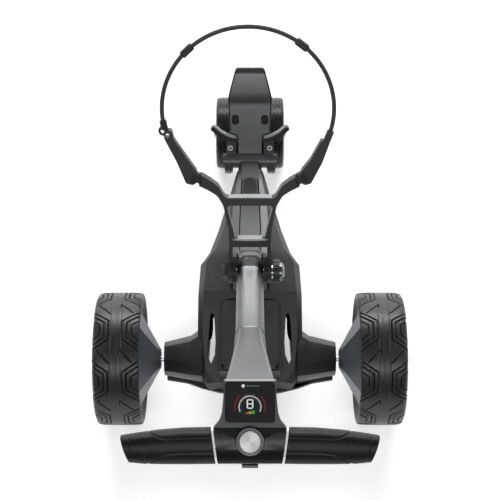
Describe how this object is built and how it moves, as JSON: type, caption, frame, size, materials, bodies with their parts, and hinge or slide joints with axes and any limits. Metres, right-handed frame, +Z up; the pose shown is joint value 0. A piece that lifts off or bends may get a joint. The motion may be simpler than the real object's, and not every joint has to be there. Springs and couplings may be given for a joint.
{
  "type": "electric golf trolley",
  "caption": "Folding electric golf trolley with a T-handle, speed dial and screen, bag cradle with elastic hoop, twin front wheel and powered rear wheels.",
  "frame": {"origin": "centre of the footprint on the ground, under the middle of the bounding box", "axes": "+Z up, +Y forward in the direction of travel, +X to the right"},
  "size_m": [0.62, 1.0944, 0.9821],
  "materials": {
    "dark_shell": "satin moulded charcoal plastic",
    "grey_shell": "satin mid-grey moulded plastic",
    "black_plastic": "fine textured black plastic",
    "pale_lip": "satin light grey plastic",
    "satin_shaft": "anodised satin gunmetal",
    "wheel_dish": "satin blue-grey painted dish",
    "tyre_rubber": "treaded black tyre",
    "grip_rubber": "soft black grip",
    "pad_rubber": "grey rubber pad",
    "cord": "black elastic cord",
    "steel": "plain machined steel",
    "chrome": "polished",
    "dial_face": "circular brushed",
    "screen": "dark cover glass",
    "circuit": "circuit board",
    "cell_wrap": "shrink wrapped cells",
    "casting": "powder coated casting"
  },
  "bodies": {
    "chassis": {"spine_beam": "dark_shell", "spine_inlay": "black_plastic", "deck_shell": "dark_shell", "belly_pan": "black_plastic", "motor_housings": "black_plastic", "rear_skirt": "pale_lip", "drive_units": "steel", "axle_bearings": "steel", "battery_tray": "black_plastic", "motor_controller": "casting", "hinge_bolt": "steel", "release_socket": "black_plastic", "barrel_pin": "steel"},
    "battery": {"battery_case": "black_plastic", "battery_lid": "dark_shell", "battery_cells": "cell_wrap"},
    "clamp_knob": {"clamp_knob": "black_plastic", "clamp_knob_cap": "chrome"},
    "release_button": {"release_button": "black_plastic"},
    "handle": {"shaft_tube": "satin_shaft", "shaft_knuckle": "grey_shell", "neck_top_cover": "grey_shell", "neck_lower_shell": "dark_shell", "display_housing": "dark_shell", "display_glass": "screen", "display_module": "circuit", "handle_core": "black_plastic", "handle_bar_tube": "steel", "chrome_trim": "chrome", "hand_grips": "grip_rubber"},
    "usb_cover": {"usb_cover": "grip_rubber"},
    "dial_plunger": {"dial_stem": "black_plastic"},
    "dial": {"dial_ring": "chrome", "dial_cap": "dial_face"},
    "cradle": {"bag_cradle": "black_plastic", "cradle_pads": "pad_rubber", "arm_pivot_pins": "steel", "strap_top": "cord", "strap_clips": "black_plastic"},
    "arm_left": {"cradle_arm_left": "black_plastic", "strap_left": "cord", "strap_toggle": "black_plastic"},
    "arm_right": {"cradle_arm_right": "black_plastic", "strap_right": "cord"},
    "front_end": {"front_yoke": "casting", "base_plate": "grey_shell", "plate_screws": "steel", "bag_wings": "casting", "wing_pads": "pad_rubber", "front_axle": "steel"},
    "front_wheels": {"front_tyres": "tyre_rubber", "front_hubs": "black_plastic"},
    "rear_wheel_left": {"rear_tyre_left": "tyre_rubber", "rear_rim_left": "wheel_dish", "rear_axle_left": "steel"},
    "rear_wheel_right": {"rear_tyre_right": "tyre_rubber", "rear_rim_right": "wheel_dish", "rear_axle_right": "steel"},
    "wheel_button_left": {"wheel_button_left": "black_plastic"},
    "wheel_button_right": {"wheel_button_right": "black_plastic"}
  },
  "joints": [
    {"name": "handle_fold", "type": "hinge", "parent": "chassis", "child": "handle", "pos_m": [0, -0.05378, 0.48], "axis": [-1, 0, 0], "range_deg": [0, 132]},
    {"name": "cradle_fold", "type": "hinge", "parent": "chassis", "child": "cradle", "pos_m": [0, -0.05378, 0.48], "axis": [-1, 0, 0], "range_deg": [0, 80]},
    {"name": "front_fold", "type": "hinge", "parent": "chassis", "child": "front_end", "pos_m": [0, 0.35822, 0.15], "axis": [-1, 0, 0], "range_deg": [0, 95]},
    {"name": "front_wheel_spin", "type": "hinge", "parent": "front_end", "child": "front_wheels", "pos_m": [0, 0.46722, 0.08], "axis": [1, 0, 0], "continuous": true},
    {"name": "rear_wheel_left_spin", "type": "hinge", "parent": "chassis", "child": "rear_wheel_left", "pos_m": [-0.26, -0.09378, 0.135], "axis": [1, 0, 0], "continuous": true},
    {"name": "rear_wheel_right_spin", "type": "hinge", "parent": "chassis", "child": "rear_wheel_right", "pos_m": [0.26, -0.09378, 0.135], "axis": [1, 0, 0], "continuous": true},
    {"name": "wheel_button_left_press", "type": "slide", "parent": "rear_wheel_left", "child": "wheel_button_left", "axis": [1, 0, 0], "range_m": [0, 0.0025], "stiffness_N_per_m": 1500},
    {"name": "wheel_button_right_press", "type": "slide", "parent": "rear_wheel_right", "child": "wheel_button_right", "axis": [-1, 0, 0], "range_m": [0, 0.0025], "stiffness_N_per_m": 1500},
    {"name": "arm_left_swing", "type": "hinge", "parent": "cradle", "child": "arm_left", "pos_m": [-0.0995, 0.06393, 0.62518], "axis": [0, -0.7768, 0.6298], "range_deg": [-8, 8], "deforming": ["strap_left"]},
    {"name": "arm_right_swing", "type": "hinge", "parent": "cradle", "child": "arm_right", "pos_m": [0.095, 0.06406, 0.62533], "axis": [0, -0.7768, 0.6298], "range_deg": [-8, 8], "deforming": ["strap_right"]},
    {"name": "dial_press", "type": "slide", "parent": "handle", "child": "dial_plunger", "axis": [0, 0.361, -0.9326], "range_m": [0, 0.001], "stiffness_N_per_m": 1200},
    {"name": "dial_spin", "type": "hinge", "parent": "dial_plunger", "child": "dial", "pos_m": [0, -0.52078, 0.95], "axis": [0, -0.361, 0.9326], "continuous": true},
    {"name": "usb_cover_open", "type": "hinge", "parent": "handle", "child": "usb_cover", "pos_m": [0, -0.54721, 0.91107], "axis": [1, 0, 0], "range_deg": [0, 95], "stiffness_Nm_per_rad": 0.02},
    {"name": "clamp_knob_turn", "type": "hinge", "parent": "chassis", "child": "clamp_knob", "pos_m": [0.05, -0.05378, 0.48], "axis": [1, 0, 0], "continuous": true},
    {"name": "release_button_press", "type": "slide", "parent": "chassis", "child": "release_button", "axis": [1, 0, 0], "range_m": [0, 0.0028], "stiffness_N_per_m": 1200},
    {"name": "battery_lift", "type": "slide", "parent": "chassis", "child": "battery", "axis": [0, 0, 1], "range_m": [0, 0.1]}
  ],
  "couplings": [
    {"joint": "cradle_fold", "follows": "handle_fold", "ratio": 0.60606}
  ]
}
